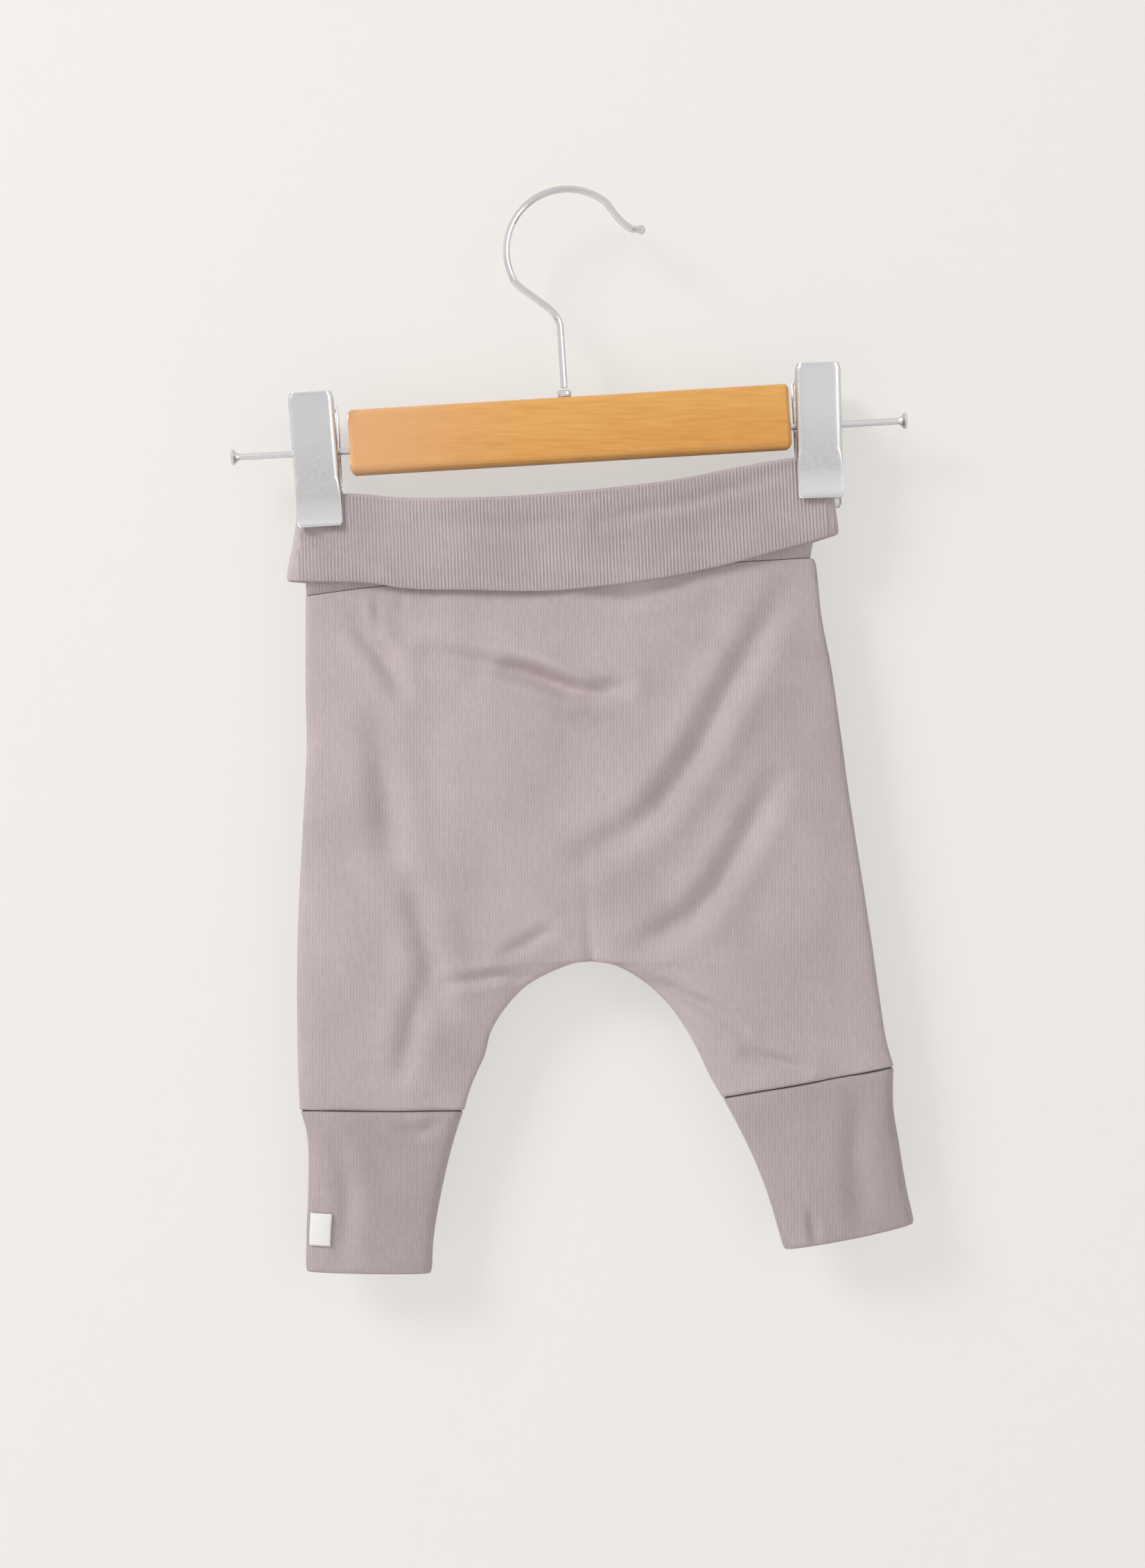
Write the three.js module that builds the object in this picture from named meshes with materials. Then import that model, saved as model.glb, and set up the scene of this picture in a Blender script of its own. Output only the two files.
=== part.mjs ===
// Jogging bottoms hanging by two clips from a bar hanger.
// Millimetres, +Z up, +X to the right seen from the front, the front faces -Y.
// The origin is the inner top of the hook, where a rail carries the whole thing.
import * as THREE from 'three';

// ---- cloth sizes
const JERSEY = 1.2;            // wall of the two body panels
const RIB = 1.5;               // wall of one doubled rib layer in the waistband and cuffs
const SEAM_GAP = 0.3;          // free space where two pieces meet
const EDGE_HALF = SEAM_GAP / 2; // half the hollow where front and back meet
const BAND_FULL = 2.9;         // extra half-depth of the hollow inside the waistband
const BODY_FULL = 6.2;         // extra half-depth of the hollow at the hips
const LEG_FULL = 5.2;          // extra half-depth of the hollow in a leg
const CUFF_FULL = 3.6;         // extra half-depth of the hollow in a cuff
const FLARE = 1.2;             // how far the turned-down edge stands off the body
const HALF_COLS = 11;          // columns of facets in each half of a panel
const TORSO_ROWS = 18;
const LEG_ROWS = 9;
const RING_COLS = 22;          // facets across the front of a flat ring
const ARC_COLS = 3;            // extra points round each side of a flat ring

// ---- hanger sizes
const WIRE_R = 1.4;
const HOOK_R = 25.3;
const HOOK_CENTRE = { x: -2, z: WIRE_R - HOOK_R };
const BAR = { length: 181.5, height: 26.4, thick: 12, round: 3, x: -1.2, z: -98.1, tilt: 3.43 };
const ROD = { left: [-140.7, -109.4], right: [137.9, -94.2], r: 1.35, head: 3.3 };
const PLATE = { width: 18.5, height: 54.5, wall: 0.8, flange: 4.5, jaw: 3.8 };

// ---- outlines seen from the front, each a table of x and z
const table = (...pairs) => pairs.map(([x, z]) => ({ x, z }));
const BAND_TOP = table([-116, -130], [-110, -127.2], [-93.5, -124.6], [-68.9, -126.4], [-30, -126.1],
  [-1.7, -124.1], [44.6, -118.7], [64.6, -114.4], [90.9, -109.8], [110, -108.5]);
const BAND_BOTTOM = table([-117.3, -160.5], [-106.4, -161], [-83.5, -161.7], [-68.1, -164],
  [-45.2, -164.6], [-7.4, -164.9], [16.6, -162.4], [40.6, -158.9], [64.8, -153.7], [80.8, -149.3],
  [95.2, -145.3], [109, -141.2]);
const BAND_SEAM = table([-111, -166.7], [-79.8, -162.7], [98.1, -150.8]);
const SIDE_LEFT = table([-109.8, -167], [-110, -199], [-109.5, -229.7], [-110.7, -255], [-111.8, -275.7],
  [-113, -300.5], [-113.4, -332.6], [-113, -363.2], [-112.3, -378.2]);
const SIDE_RIGHT = table([98.1, -151.1], [99.8, -157], [103.2, -179], [106.4, -195.1], [108.8, -211.2],
  [111.6, -231.3], [112.7, -240], [123.3, -309.5], [126.6, -333.1], [129.3, -349.9], [132.2, -360.2]);
const APEX = { x: 7.7, z: -317.2 };
const INSEAM_LEFT = table([7.7, -317.2], [1.9, -317.7], [-6.9, -320.7], [-18.9, -327.2], [-27.2, -335.8],
  [-33.5, -345.8], [-36.4, -356.4], [-39.5, -363.2], [-42.6, -370.9], [-44.6, -378.3]);
const INSEAM_RIGHT = table([7.7, -317.2], [16.5, -318.5], [24.5, -322.2], [31.7, -327.2], [39.8, -335.2],
  [45.7, -343.3], [51.5, -353.5], [56.6, -364.4], [61.6, -373]);
const CUFF_LEFT = {
  outer: table([-112.2, -378.6], [-109.6, -388], [-109.1, -413.6], [-109.7, -428], [-110, -445]),
  inner: table([-45.0, -378.7], [-49.5, -393], [-54.3, -413.6], [-57.2, -431], [-58, -445.8]),
};
const CUFF_RIGHT = {
  outer: table([61.9, -373.4], [69.1, -386.7], [76, -401.5], [81.5, -416.4], [87.1, -436]),
  inner: table([132.3, -360.6], [132.4, -378], [134.8, -393], [137.3, -408.4], [141, -425.2]),
};

// ---- the largest folds: soft troughs along a line, depth and half-width in mm
const FRONT_FOLDS = [
  { depth: 1.6, width: 6, line: table([-89.7, -178.3], [-79, -190.6], [-72, -202.1]) },
  { depth: 2.4, width: 7, line: table([-40, -194], [-18.4, -198.3], [-2.3, -204.8], [18.1, -204.8]) },
  { depth: 2.2, width: 9, line: table([86.4, -167.9], [67.1, -199.9], [44.6, -240.1], [23, -263.4]) },
  { depth: 1.6, width: 8, line: table([83.1, -245.7], [58.8, -287.1], [36.9, -305.4]) },
  { depth: 1.4, width: 9, line: table([-79, -230], [-72.8, -275.7], [-57.9, -317.3]) },
];
const BACK_FOLDS = [
  { depth: 2.0, width: 8, line: table([-80, -182], [-58, -214], [-38, -240]) },
  { depth: 2.2, width: 9, line: table([74, -172], [52, -206], [26, -236]) },
  { depth: 1.6, width: 9, line: table([-84, -262], [-70, -306], [-66, -344]) },
];

// ---- small helpers
const lerp = (a, b, t) => a + (b - a) * t;
const clamp01 = (t) => Math.min(1, Math.max(0, t));
const smooth = (a, b, t) => { const k = clamp01((t - a) / (b - a)); return k * k * (3 - 2 * k); };
const bell = (s) => Math.sqrt(Math.max(0, Math.sin(Math.PI * clamp01(s))));

// z on a table of rising x
function zAt(rows, x) {
  let i = 1;
  while (i < rows.length - 1 && rows[i].x < x) i += 1;
  const [a, b] = [rows[i - 1], rows[i]];
  return lerp(a.z, b.z, clamp01((x - a.x) / (b.x - a.x)));
}

// the point a fraction t of the way along a table
function along(rows, t) {
  const run = [0];
  for (let i = 1; i < rows.length; i += 1) {
    run.push(run[i - 1] + Math.hypot(rows[i].x - rows[i - 1].x, rows[i].z - rows[i - 1].z));
  }
  const want = clamp01(t) * run[run.length - 1];
  let i = 1;
  while (i < rows.length - 1 && run[i] < want) i += 1;
  const k = (want - run[i - 1]) / (run[i] - run[i - 1]);
  return { x: lerp(rows[i - 1].x, rows[i].x, k), z: lerp(rows[i - 1].z, rows[i].z, k) };
}

// the point where a table of falling z reaches a height
function crossing(rows, z) {
  const i = rows.findIndex((row) => row.z <= z);
  const [a, b] = [rows[i - 1], rows[i]];
  return { x: lerp(a.x, b.x, (z - a.z) / (b.z - a.z)), z };
}

function foldDepth(folds, x, z) {
  let total = 0;
  for (const { depth, width, line } of folds) {
    let near = Infinity;
    for (let i = 1; i < line.length; i += 1) {
      const [a, b] = [line[i - 1], line[i]];
      const [dx, dz] = [b.x - a.x, b.z - a.z];
      const t = clamp01(((x - a.x) * dx + (z - a.z) * dz) / (dx * dx + dz * dz));
      near = Math.min(near, Math.hypot(x - a.x - t * dx, z - a.z - t * dz));
    }
    total += depth * Math.exp(-((near / width) ** 2));
  }
  return total;
}

// ---- meshes
function geometryOf(points, faces) {
  let volume = 0;
  for (const [a, b, c] of faces) {
    const [p, q, r] = [points[a], points[b], points[c]];
    volume += p[0] * (q[1] * r[2] - q[2] * r[1]) + p[1] * (q[2] * r[0] - q[0] * r[2])
      + p[2] * (q[0] * r[1] - q[1] * r[0]);
  }
  const geometry = new THREE.BufferGeometry();
  geometry.setAttribute('position', new THREE.Float32BufferAttribute(points.flat(), 3));
  geometry.setIndex((volume < 0 ? faces.map(([a, b, c]) => [a, c, b]) : faces).flat());
  geometry.computeVertexNormals();
  return geometry;
}

// a sheet with two sides: outer and inner points, and the quads of one side
function thicken(outer, inner, quads) {
  const n = outer.length;
  const faces = [];
  const edges = new Map();
  for (const q of quads) {
    faces.push([q[0], q[1], q[2]], [q[0], q[2], q[3]]);
    faces.push([q[2] + n, q[1] + n, q[0] + n], [q[3] + n, q[2] + n, q[0] + n]);
    q.forEach((a, k) => edges.set(`${a}_${q[(k + 1) % 4]}`, [a, q[(k + 1) % 4]]));
  }
  for (const [a, b] of edges.values()) {
    if (!edges.has(`${b}_${a}`)) faces.push([b, a, a + n], [b, a + n, b + n]);
  }
  return geometryOf([...outer, ...inner], faces);
}

function gridQuads(rows, cols) {
  const quads = [];
  for (let r = 0; r < rows - 1; r += 1) {
    for (let c = 0; c < cols - 1; c += 1) {
      const a = r * cols + c;
      quads.push([a, a + cols, a + cols + 1, a + 1]);
    }
  }
  return quads;
}

// rings of equal count joined one after the other; closed makes a tube wall, otherwise the ends are capped
function joinRings(rings, closed) {
  const n = rings[0].length;
  const points = rings.flat();
  const faces = [];
  const last = closed ? rings.length : rings.length - 1;
  for (let k = 0; k < last; k += 1) {
    const [a, b] = [k * n, ((k + 1) % rings.length) * n];
    for (let i = 0; i < n; i += 1) {
      const j = (i + 1) % n;
      faces.push([a + i, a + j, b + j], [a + i, b + j, b + i]);
    }
  }
  if (!closed) {
    for (const [start, flip] of [[0, true], [(rings.length - 1) * n, false]]) {
      const ring = points.slice(start, start + n);
      const centre = points.push([0, 1, 2].map((k) => ring.reduce((sum, p) => sum + p[k], 0) / n)) - 1;
      for (let i = 0; i < n; i += 1) {
        const [p, q] = [start + i, start + ((i + 1) % n)];
        faces.push(flip ? [centre, q, p] : [centre, p, q]);
      }
    }
  }
  return geometryOf(points, faces);
}

// a ring that lies nearly flat: L and R are the centres of its side arcs, half(s) its hollow's half-depth
function flatRing(L, R, half, offset, shift) {
  const length = Math.hypot(R.x - L.x, R.z - L.z);
  const [ux, uz] = [(R.x - L.x) / length, (R.z - L.z) / length];
  const point = (s, reach, y) => {
    const x = lerp(L.x, R.x, s) + ux * reach;
    return [x, y, lerp(L.z, R.z, s) + uz * reach + shift(clamp01(s), x)];
  };
  const ring = [];
  const r = EDGE_HALF + offset;
  for (let i = 0; i <= RING_COLS; i += 1) {
    const s = i / RING_COLS;
    ring.push(point(s, 0, -(half(s) + offset)));
  }
  for (let k = 1; k <= ARC_COLS; k += 1) {
    const turn = (k * Math.PI) / (ARC_COLS + 1);
    ring.push(point(1, r * Math.sin(turn), -r * Math.cos(turn)));
  }
  for (let i = RING_COLS; i >= 0; i -= 1) {
    const s = i / RING_COLS;
    ring.push(point(s, 0, half(s) + offset));
  }
  for (let k = 1; k <= ARC_COLS; k += 1) {
    const turn = (k * Math.PI) / (ARC_COLS + 1);
    ring.push(point(0, -r * Math.sin(turn), r * Math.cos(turn)));
  }
  return ring;
}

// ---- body panels
function panelPoints() {
  const hipLeft = crossing(SIDE_LEFT, -320);
  const hipRight = crossing(SIDE_RIGHT, -316);
  const seamMid = { x: -4, z: zAt(BAND_SEAM, -4) - SEAM_GAP };
  const half = (a, b, i) => ({ x: lerp(a.x, b.x, i / HALF_COLS), z: lerp(a.z, b.z, i / HALF_COLS) });
  const points = [];
  for (let r = 0; r <= TORSO_ROWS; r += 1) {
    const v = r / TORSO_ROWS;
    const a = crossing(SIDE_LEFT, lerp(SIDE_LEFT[0].z - 0.01, hipLeft.z, v));
    const b = crossing(SIDE_RIGHT, lerp(SIDE_RIGHT[0].z - 0.01, hipRight.z, v));
    const c = { x: lerp(seamMid.x, APEX.x, v), z: lerp(seamMid.z, APEX.z, v) };
    for (let i = 0; i <= 2 * HALF_COLS; i += 1) {
      const p = i <= HALF_COLS ? half(a, c, i) : half(c, b, i - HALF_COLS);
      const s = i / (2 * HALF_COLS);
      if (r === 0) p.z = zAt(BAND_SEAM, p.x) - SEAM_GAP;
      const legs = bell((2 * s) % 1) * (s === 0.5 ? 0 : 1);
      const k = smooth(0.7, 1, v);
      const full = lerp(BAND_FULL, BODY_FULL, smooth(0, 0.45, v));
      points.push({ ...p, full: lerp(full * bell(s), LEG_FULL * legs, k) });
    }
  }
  const legs = [[SIDE_LEFT, INSEAM_LEFT, hipLeft, false], [SIDE_RIGHT, INSEAM_RIGHT, hipRight, true]];
  for (const [side, inseam, hip, right] of legs) {
    for (let r = 1; r <= LEG_ROWS; r += 1) {
      const w = r / LEG_ROWS;
      const a = crossing(side, lerp(hip.z, side[side.length - 1].z, w));
      const b = along(inseam, w);
      for (let i = 0; i <= HALF_COLS; i += 1) {
        const p = right ? half(b, a, i) : half(a, b, i);
        const full = lerp(LEG_FULL, CUFF_FULL, w);
        points.push({ ...p, full: full * bell(i / HALF_COLS) });
      }
    }
  }
  return points;
}

function panelQuads() {
  const cols = 2 * HALF_COLS + 1;
  const quads = gridQuads(TORSO_ROWS + 1, cols);
  const legStart = (TORSO_ROWS + 1) * cols;
  const legCols = HALF_COLS + 1;
  [0, 1].forEach((leg) => {
    const at = (r, i) => (r === 0 ? TORSO_ROWS * cols + leg * HALF_COLS + i
      : legStart + (leg * LEG_ROWS + r - 1) * legCols + i);
    for (let r = 0; r < LEG_ROWS; r += 1) {
      for (let i = 0; i < HALF_COLS; i += 1) {
        quads.push([at(r, i), at(r + 1, i), at(r + 1, i + 1), at(r, i + 1)]);
      }
    }
  });
  return quads;
}

function bodyPanel(side, folds) {
  const points = panelPoints();
  const depth = points.map(({ x, z, full }) => {
    const clear = smooth(BAND_SEAM[0].z + 2, BAND_SEAM[0].z - 12, z);
    return EDGE_HALF + Math.max(0, full - Math.min(full, foldDepth(folds, x, z)) * clear);
  });
  const layer = (extra) => points.map(({ x, z }, i) => [x, side * (depth[i] + extra), z]);
  return thicken(layer(JERSEY), layer(0), panelQuads());
}

// ---- ribbed waistband: a rise sewn to the body, folded outwards and down over itself
function waistband() {
  const wall = 2 * RIB + SEAM_GAP;
  const clipBell = (s) => smooth(0.1, 0.32, s) * smooth(0.9, 0.68, s);
  const half = (v) => (s) => EDGE_HALF + BAND_FULL * lerp(clipBell(s), bell(s), smooth(0.35, 0.95, v));
  const turned = (v, offset, drop = 0) => {
    const reach = wall + EDGE_HALF;
    const L = { x: lerp(-113.6, -116.6, smooth(0, 0.9, v)) + reach, z: 0 };
    const R = { x: lerp(107.4, 108.6, v) - reach, z: 0 };
    const shift = (s, x) => lerp(zAt(BAND_TOP, x), zAt(BAND_BOTTOM, x), v) + drop;
    return flatRing(L, R, half(v), offset + FLARE * smooth(0.5, 1, v), shift);
  };
  const rise = (v, offset, drop = 0) => {
    const L = { x: lerp(-110.1, -108.1, v), z: 0 };
    const R = { x: lerp(103.9, 96.4, v), z: 0 };
    const shift = (s, x) => lerp(zAt(BAND_TOP, x), zAt(BAND_SEAM, x), v) + drop;
    return flatRing(L, R, half(v), offset, shift);
  };
  const [outer, middle] = [wall, wall / 2];
  const down = [0.15, 0.32, 0.5, 0.66, 0.82, 1];
  return joinRings([
    turned(1, RIB * 1.5 + SEAM_GAP),
    turned(0.97, outer),
    ...[0.82, 0.66, 0.5, 0.32, 0.15].map((v) => turned(v, outer)),
    turned(0, outer, -middle),
    turned(0, outer * 0.85, -0.5),
    turned(0, middle),
    rise(0, outer * 0.15, -0.5),
    rise(0, 0, -middle),
    ...down.map((v) => rise(v, 0)),
    ...down.slice().reverse().map((v) => rise(v, RIB)),
    rise(0, RIB, -RIB - SEAM_GAP),
    turned(0, RIB + SEAM_GAP, -RIB - SEAM_GAP),
    ...[0.15, 0.32, 0.5, 0.66, 0.82, 0.97].map((v) => turned(v, RIB + SEAM_GAP)),
  ], true);
}

// ---- cuffs: open tubes
function cuffRings(cuff, offset, stops, fullness) {
  return stops.map((v) => {
    const [a, b] = [along(cuff.outer, v), along(cuff.inner, v)];
    const length = Math.hypot(b.x - a.x, b.z - a.z);
    const reach = (RIB + EDGE_HALF) / length;
    const L = { x: lerp(a.x, b.x, reach), z: lerp(a.z, b.z, reach) };
    const R = { x: lerp(b.x, a.x, reach), z: lerp(b.z, a.z, reach) };
    return flatRing(L, R, (s) => EDGE_HALF + fullness(v) * bell(s), offset, () => 0);
  });
}
const CUFF_STOPS = [0, 0.12, 0.26, 0.42, 0.58, 0.74, 0.88, 1];
const straightFull = (v) => lerp(CUFF_FULL, CUFF_FULL * 0.85, v);
const openFull = (v) => lerp(CUFF_FULL, CUFF_FULL * 1.5, smooth(0.4, 1, v));

function cuff(shape, fullness) {
  const up = CUFF_STOPS.slice().reverse();
  return joinRings([...cuffRings(shape, RIB, up, fullness), ...cuffRings(shape, 0, CUFF_STOPS, fullness)], true);
}

// ---- the label folded into the left cuff's outer seam, lying on the cuff
function label() {
  const stops = [0.63, 0.7, 0.77, 0.83];
  const cols = 4;
  const layer = (lift) => cuffRings(CUFF_LEFT, RIB + lift, stops, straightFull)
    .flatMap((ring) => ring.slice(0, cols + 1));
  return thicken(layer(SEAM_GAP + 0.6), layer(SEAM_GAP), gridQuads(stops.length, cols + 1));
}

// ---- hanger
function sweep(path, radii, sides = 12) {
  const up = new THREE.Vector3(0, 1, 0);
  return joinRings(path.map((p, k) => {
    const before = path[Math.max(0, k - 1)];
    const after = path[Math.min(path.length - 1, k + 1)];
    const run = new THREE.Vector3().subVectors(after, before).normalize();
    const across = new THREE.Vector3().crossVectors(run, up).normalize();
    const other = new THREE.Vector3().crossVectors(across, run).normalize();
    const ring = [];
    for (let i = 0; i < sides; i += 1) {
      const turn = (i / sides) * 2 * Math.PI;
      const q = p.clone().addScaledVector(across, radii[k] * Math.cos(turn))
        .addScaledVector(other, radii[k] * Math.sin(turn));
      ring.push([q.x, q.y, q.z]);
    }
    return ring;
  }), false);
}

function hook() {
  const path = [[-3.4, -80.6], [-4.1, -70], [-4.9, -58.1], [-5.4, -53.8], [-8.3, -49.2]];
  for (let deg = 212; deg >= 52; deg -= 8) {
    const turn = (deg * Math.PI) / 180;
    path.push([HOOK_CENTRE.x + HOOK_R * Math.cos(turn), HOOK_CENTRE.z + HOOK_R * Math.sin(turn)]);
  }
  path.push([17.2, -8.6], [21.5, -13.2], [24.6, -15.2]);
  const curve = new THREE.CatmullRomCurve3(path.map(([x, z]) => new THREE.Vector3(x, 0, z)), false, 'centripetal');
  const points = curve.getSpacedPoints(84);
  const radii = points.map(() => WIRE_R);
  const ball = { x: 28.3, z: -15.4, r: 1.95 };
  const from = points[points.length - 1];
  const dir = new THREE.Vector3(ball.x - from.x, 0, ball.z - from.z).normalize();
  for (const reach of [-1.35, -0.9, 0, 0.9, 1.5, 1.8]) {
    points.push(new THREE.Vector3(ball.x + dir.x * reach, 0, ball.z + dir.z * reach));
    radii.push(Math.sqrt(Math.max(0.1, ball.r ** 2 - reach ** 2)));
  }
  return sweep(points, radii);
}

function collar() {
  const profile = [[1.8, -1.4], [2.6, -1.4], [2.85, -0.6], [2.85, 0.6], [2.4, 1.4], [1.8, 1.4]]
    .map(([r, y]) => new THREE.Vector2(r, y));
  profile.push(profile[0].clone());
  const shape = new THREE.LatheGeometry(profile, 20);
  shape.rotateX(Math.PI / 2);
  shape.rotateY((-BAR.tilt * Math.PI) / 180);
  shape.translate(-3.35, 0, -83.2);
  return shape;
}

// hanger's long direction and its upward normal, in x and z
const TILT = (BAR.tilt * Math.PI) / 180;
const onBar = (run, rise) => [BAR.x + run * Math.cos(TILT) - rise * Math.sin(TILT),
  BAR.z + run * Math.sin(TILT) + rise * Math.cos(TILT)];
const rodRise = (run) => {
  const slope = (ROD.right[1] - ROD.left[1]) / (ROD.right[0] - ROD.left[0]);
  const [x, z] = onBar(run, 0);
  return ROD.left[1] + slope * (x - ROD.left[0]) - z;
};

function bar() {
  const section = [];
  const [hy, hz] = [BAR.thick / 2 - BAR.round, BAR.height / 2 - BAR.round];
  [[1, 1, 0], [-1, 1, 90], [-1, -1, 180], [1, -1, 270]].forEach(([sy, sz, start], corner) => {
    for (let k = 0; k <= 4; k += 1) {
      const turn = ((start + k * 22.5) * Math.PI) / 180;
      section.push([sy * hy + BAR.round * Math.cos(turn), sz * hz + BAR.round * Math.sin(turn)]);
    }
    const upright = corner % 2 === 1;
    const steps = upright ? 8 : 3;
    for (let k = 1; k < steps; k += 1) {
      const t = 1 - (2 * k) / steps;
      section.push(upright ? [sy * (hy + BAR.round), sz * hz * t] : [sy * hy * t, sz * (hz + BAR.round)]);
    }
  });
  const bore = ROD.r + SEAM_GAP;
  const ring = (run, inset, hole) => section.map(([y, rise]) => {
    const centre = rodRise(run);
    const turn = Math.atan2(rise - centre, y);
    const [x, z] = hole ? onBar(run, centre + bore * Math.sin(turn))
      : onBar(run, rise * (1 - inset / (BAR.height / 2)));
    return [x, hole ? bore * Math.cos(turn) : y * (1 - inset / (BAR.thick / 2)), z];
  });
  const end = BAR.length / 2;
  const stops = [[-end, 1.6], [-end + 0.5, 0.7], [-end + 1.6, 0], [0, 0], [end - 1.6, 0], [end - 0.5, 0.7], [end, 1.6]];
  return joinRings([...stops.map(([run, inset]) => ring(run, inset, false)),
    ...[end, 0, -end].map((run) => ring(run, 0, true))], true);
}

function rod() {
  const [a, b] = [new THREE.Vector3(ROD.left[0], 0, ROD.left[1]), new THREE.Vector3(ROD.right[0], 0, ROD.right[1])];
  const length = a.distanceTo(b);
  const stops = [[0, 2.4], [0.4, ROD.head], [1.2, ROD.head], [2.2, 2.0], [3.4, ROD.r], [length / 2, ROD.r],
    [length - 3.4, ROD.r], [length - 2.2, 2.0], [length - 1.2, ROD.head], [length - 0.4, ROD.head], [length, 2.4]];
  return sweep(stops.map(([run]) => a.clone().lerp(b, run / length)), stops.map(([, r]) => r), 20);
}

// one clip plate: a pressed sheet with side flanges, closed at the jaw and open at the top
const CLIPS = {
  left: { foot: { x: -103.5, z: -138.5 }, head: { x: -107.0, z: -84.6 } },
  right: { foot: { x: 102.2, z: -126.7 }, head: { x: 100.0, z: -72.6 } },
};
function plate({ foot, head }, side, drop) {
  const across = [-1, -0.98, -0.92, -0.8, -0.5, 0, 0.5, 0.8, 0.92, 0.98, 1];
  const back = [1, 0.6, 0.25, 0.05, 0, 0, 0, 0.05, 0.25, 0.6, 1];
  const profile = [[0, 5.8], [0.02, 4.9], [0.06, 4.4], [0.12, 4.4], [0.2, 4.9], [0.3, 6], [0.45, 7.6], [0.6, 9],
    [0.8, 10.6], [0.97, 12], [1, 12.3]];
  const length = Math.hypot(head.x - foot.x, head.z - foot.z);
  const [ux, uz] = [(head.x - foot.x) / length, (head.z - foot.z) / length];
  const layer = (wall) => profile.flatMap(([t, y]) => {
    const inside = t < 0.35 ? PLATE.jaw + 0.15 : 3;
    const reach = Math.max(0, Math.min(PLATE.flange, y - PLATE.wall - inside));
    const corner = t > 0.95 || t < 0.03 ? 0.94 : 1;
    return across.map((a, i) => {
      const edge = Math.abs(a) > 0.85 ? wall : 0;
      const out = (a * PLATE.width * corner) / 2 - Math.sign(a) * edge;
      const run = t * length - drop;
      return [foot.x + ux * run + uz * out, side * (y - wall - back[i] * reach + (edge ? wall * 0.4 : 0)),
        foot.z + uz * run - ux * out];
    });
  });
  return thicken(layer(0), layer(PLATE.wall), gridQuads(profile.length, across.length));
}

function spring({ foot, head }) {
  const slope = (ROD.right[1] - ROD.left[1]) / (ROD.right[0] - ROD.left[0]);
  const x0 = (foot.x + head.x) / 2;
  const z0 = ROD.left[1] + slope * (x0 - ROD.left[0]);
  const points = [];
  for (let k = 0; k <= 48; k += 1) {
    const turn = (k / 10) * 2 * Math.PI;
    const run = -4.4 + (8.8 * k) / 48;
    points.push(new THREE.Vector3(x0 + run, 2.6 * Math.cos(turn), z0 + slope * run + 2.6 * Math.sin(turn)));
  }
  const up = new THREE.Vector3(1, 0, slope).normalize();
  return joinRings(points.map((p, k) => {
    const run = new THREE.Vector3().subVectors(points[Math.min(48, k + 1)], points[Math.max(0, k - 1)]).normalize();
    const a = new THREE.Vector3().crossVectors(run, up).normalize();
    const b = new THREE.Vector3().crossVectors(run, a).normalize();
    return [0, 1, 2, 3, 4, 5].map((i) => {
      const turn = (i * Math.PI) / 3;
      const q = p.clone().addScaledVector(a, 0.6 * Math.cos(turn)).addScaledVector(b, 0.6 * Math.sin(turn));
      return [q.x, q.y, q.z];
    });
  }), false);
}

// ---- the assembly
const FINISH = {
  jersey: { color: 0xa39698, roughness: 0.95, metalness: 0 },
  rib: { color: 0xa09395, roughness: 0.95, metalness: 0 },
  woven: { color: 0xf0eeec, roughness: 0.8, metalness: 0 },
  chrome: { color: 0xc8c8ca, roughness: 0.2, metalness: 1 },
  satin: { color: 0xb8b8ba, roughness: 0.35, metalness: 1 },
  wood: { color: 0xd49a52, roughness: 0.35, metalness: 0 },
};

function build() {
  const group = new THREE.Group();
  const add = (name, geometry, finish) => {
    const mesh = new THREE.Mesh(geometry, new THREE.MeshStandardMaterial(FINISH[finish]));
    mesh.name = name;
    group.add(mesh);
  };
  add('body_front', bodyPanel(-1, FRONT_FOLDS), 'jersey');
  add('body_back', bodyPanel(1, BACK_FOLDS), 'jersey');
  add('waistband', waistband(), 'rib');
  add('cuff_left', cuff(CUFF_LEFT, straightFull), 'jersey');
  add('cuff_right', cuff(CUFF_RIGHT, openFull), 'jersey');
  add('label', label(), 'woven');
  add('hook', hook(), 'chrome');
  add('hook_collar', collar(), 'chrome');
  add('bar', bar(), 'wood');
  add('rod', rod(), 'satin');
  for (const [side, clip] of Object.entries(CLIPS)) {
    add(`clip_${side}_front`, plate(clip, -1, 0), 'satin');
    add(`clip_${side}_back`, plate(clip, 1, 3), 'satin');
    add(`clip_${side}_spring`, spring(clip), 'satin');
  }
  return group;
}

export default build();
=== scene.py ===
"""Jogging bottoms hanging by two clips from a wooden bar hanger."""

import math

import bpy
import numpy as np
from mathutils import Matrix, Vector


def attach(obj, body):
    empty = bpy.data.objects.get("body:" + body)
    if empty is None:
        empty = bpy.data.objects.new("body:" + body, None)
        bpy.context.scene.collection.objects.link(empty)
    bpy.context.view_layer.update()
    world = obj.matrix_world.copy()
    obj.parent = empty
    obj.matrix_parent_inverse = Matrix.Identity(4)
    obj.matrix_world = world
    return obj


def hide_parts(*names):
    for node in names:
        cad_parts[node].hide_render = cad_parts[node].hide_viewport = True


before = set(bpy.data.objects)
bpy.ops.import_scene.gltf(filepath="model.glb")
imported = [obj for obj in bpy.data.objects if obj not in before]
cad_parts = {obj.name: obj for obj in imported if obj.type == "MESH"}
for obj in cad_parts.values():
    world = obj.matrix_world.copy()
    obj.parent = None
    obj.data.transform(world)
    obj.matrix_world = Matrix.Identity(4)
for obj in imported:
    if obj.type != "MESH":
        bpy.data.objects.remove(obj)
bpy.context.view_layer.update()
MM = 0.001

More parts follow.
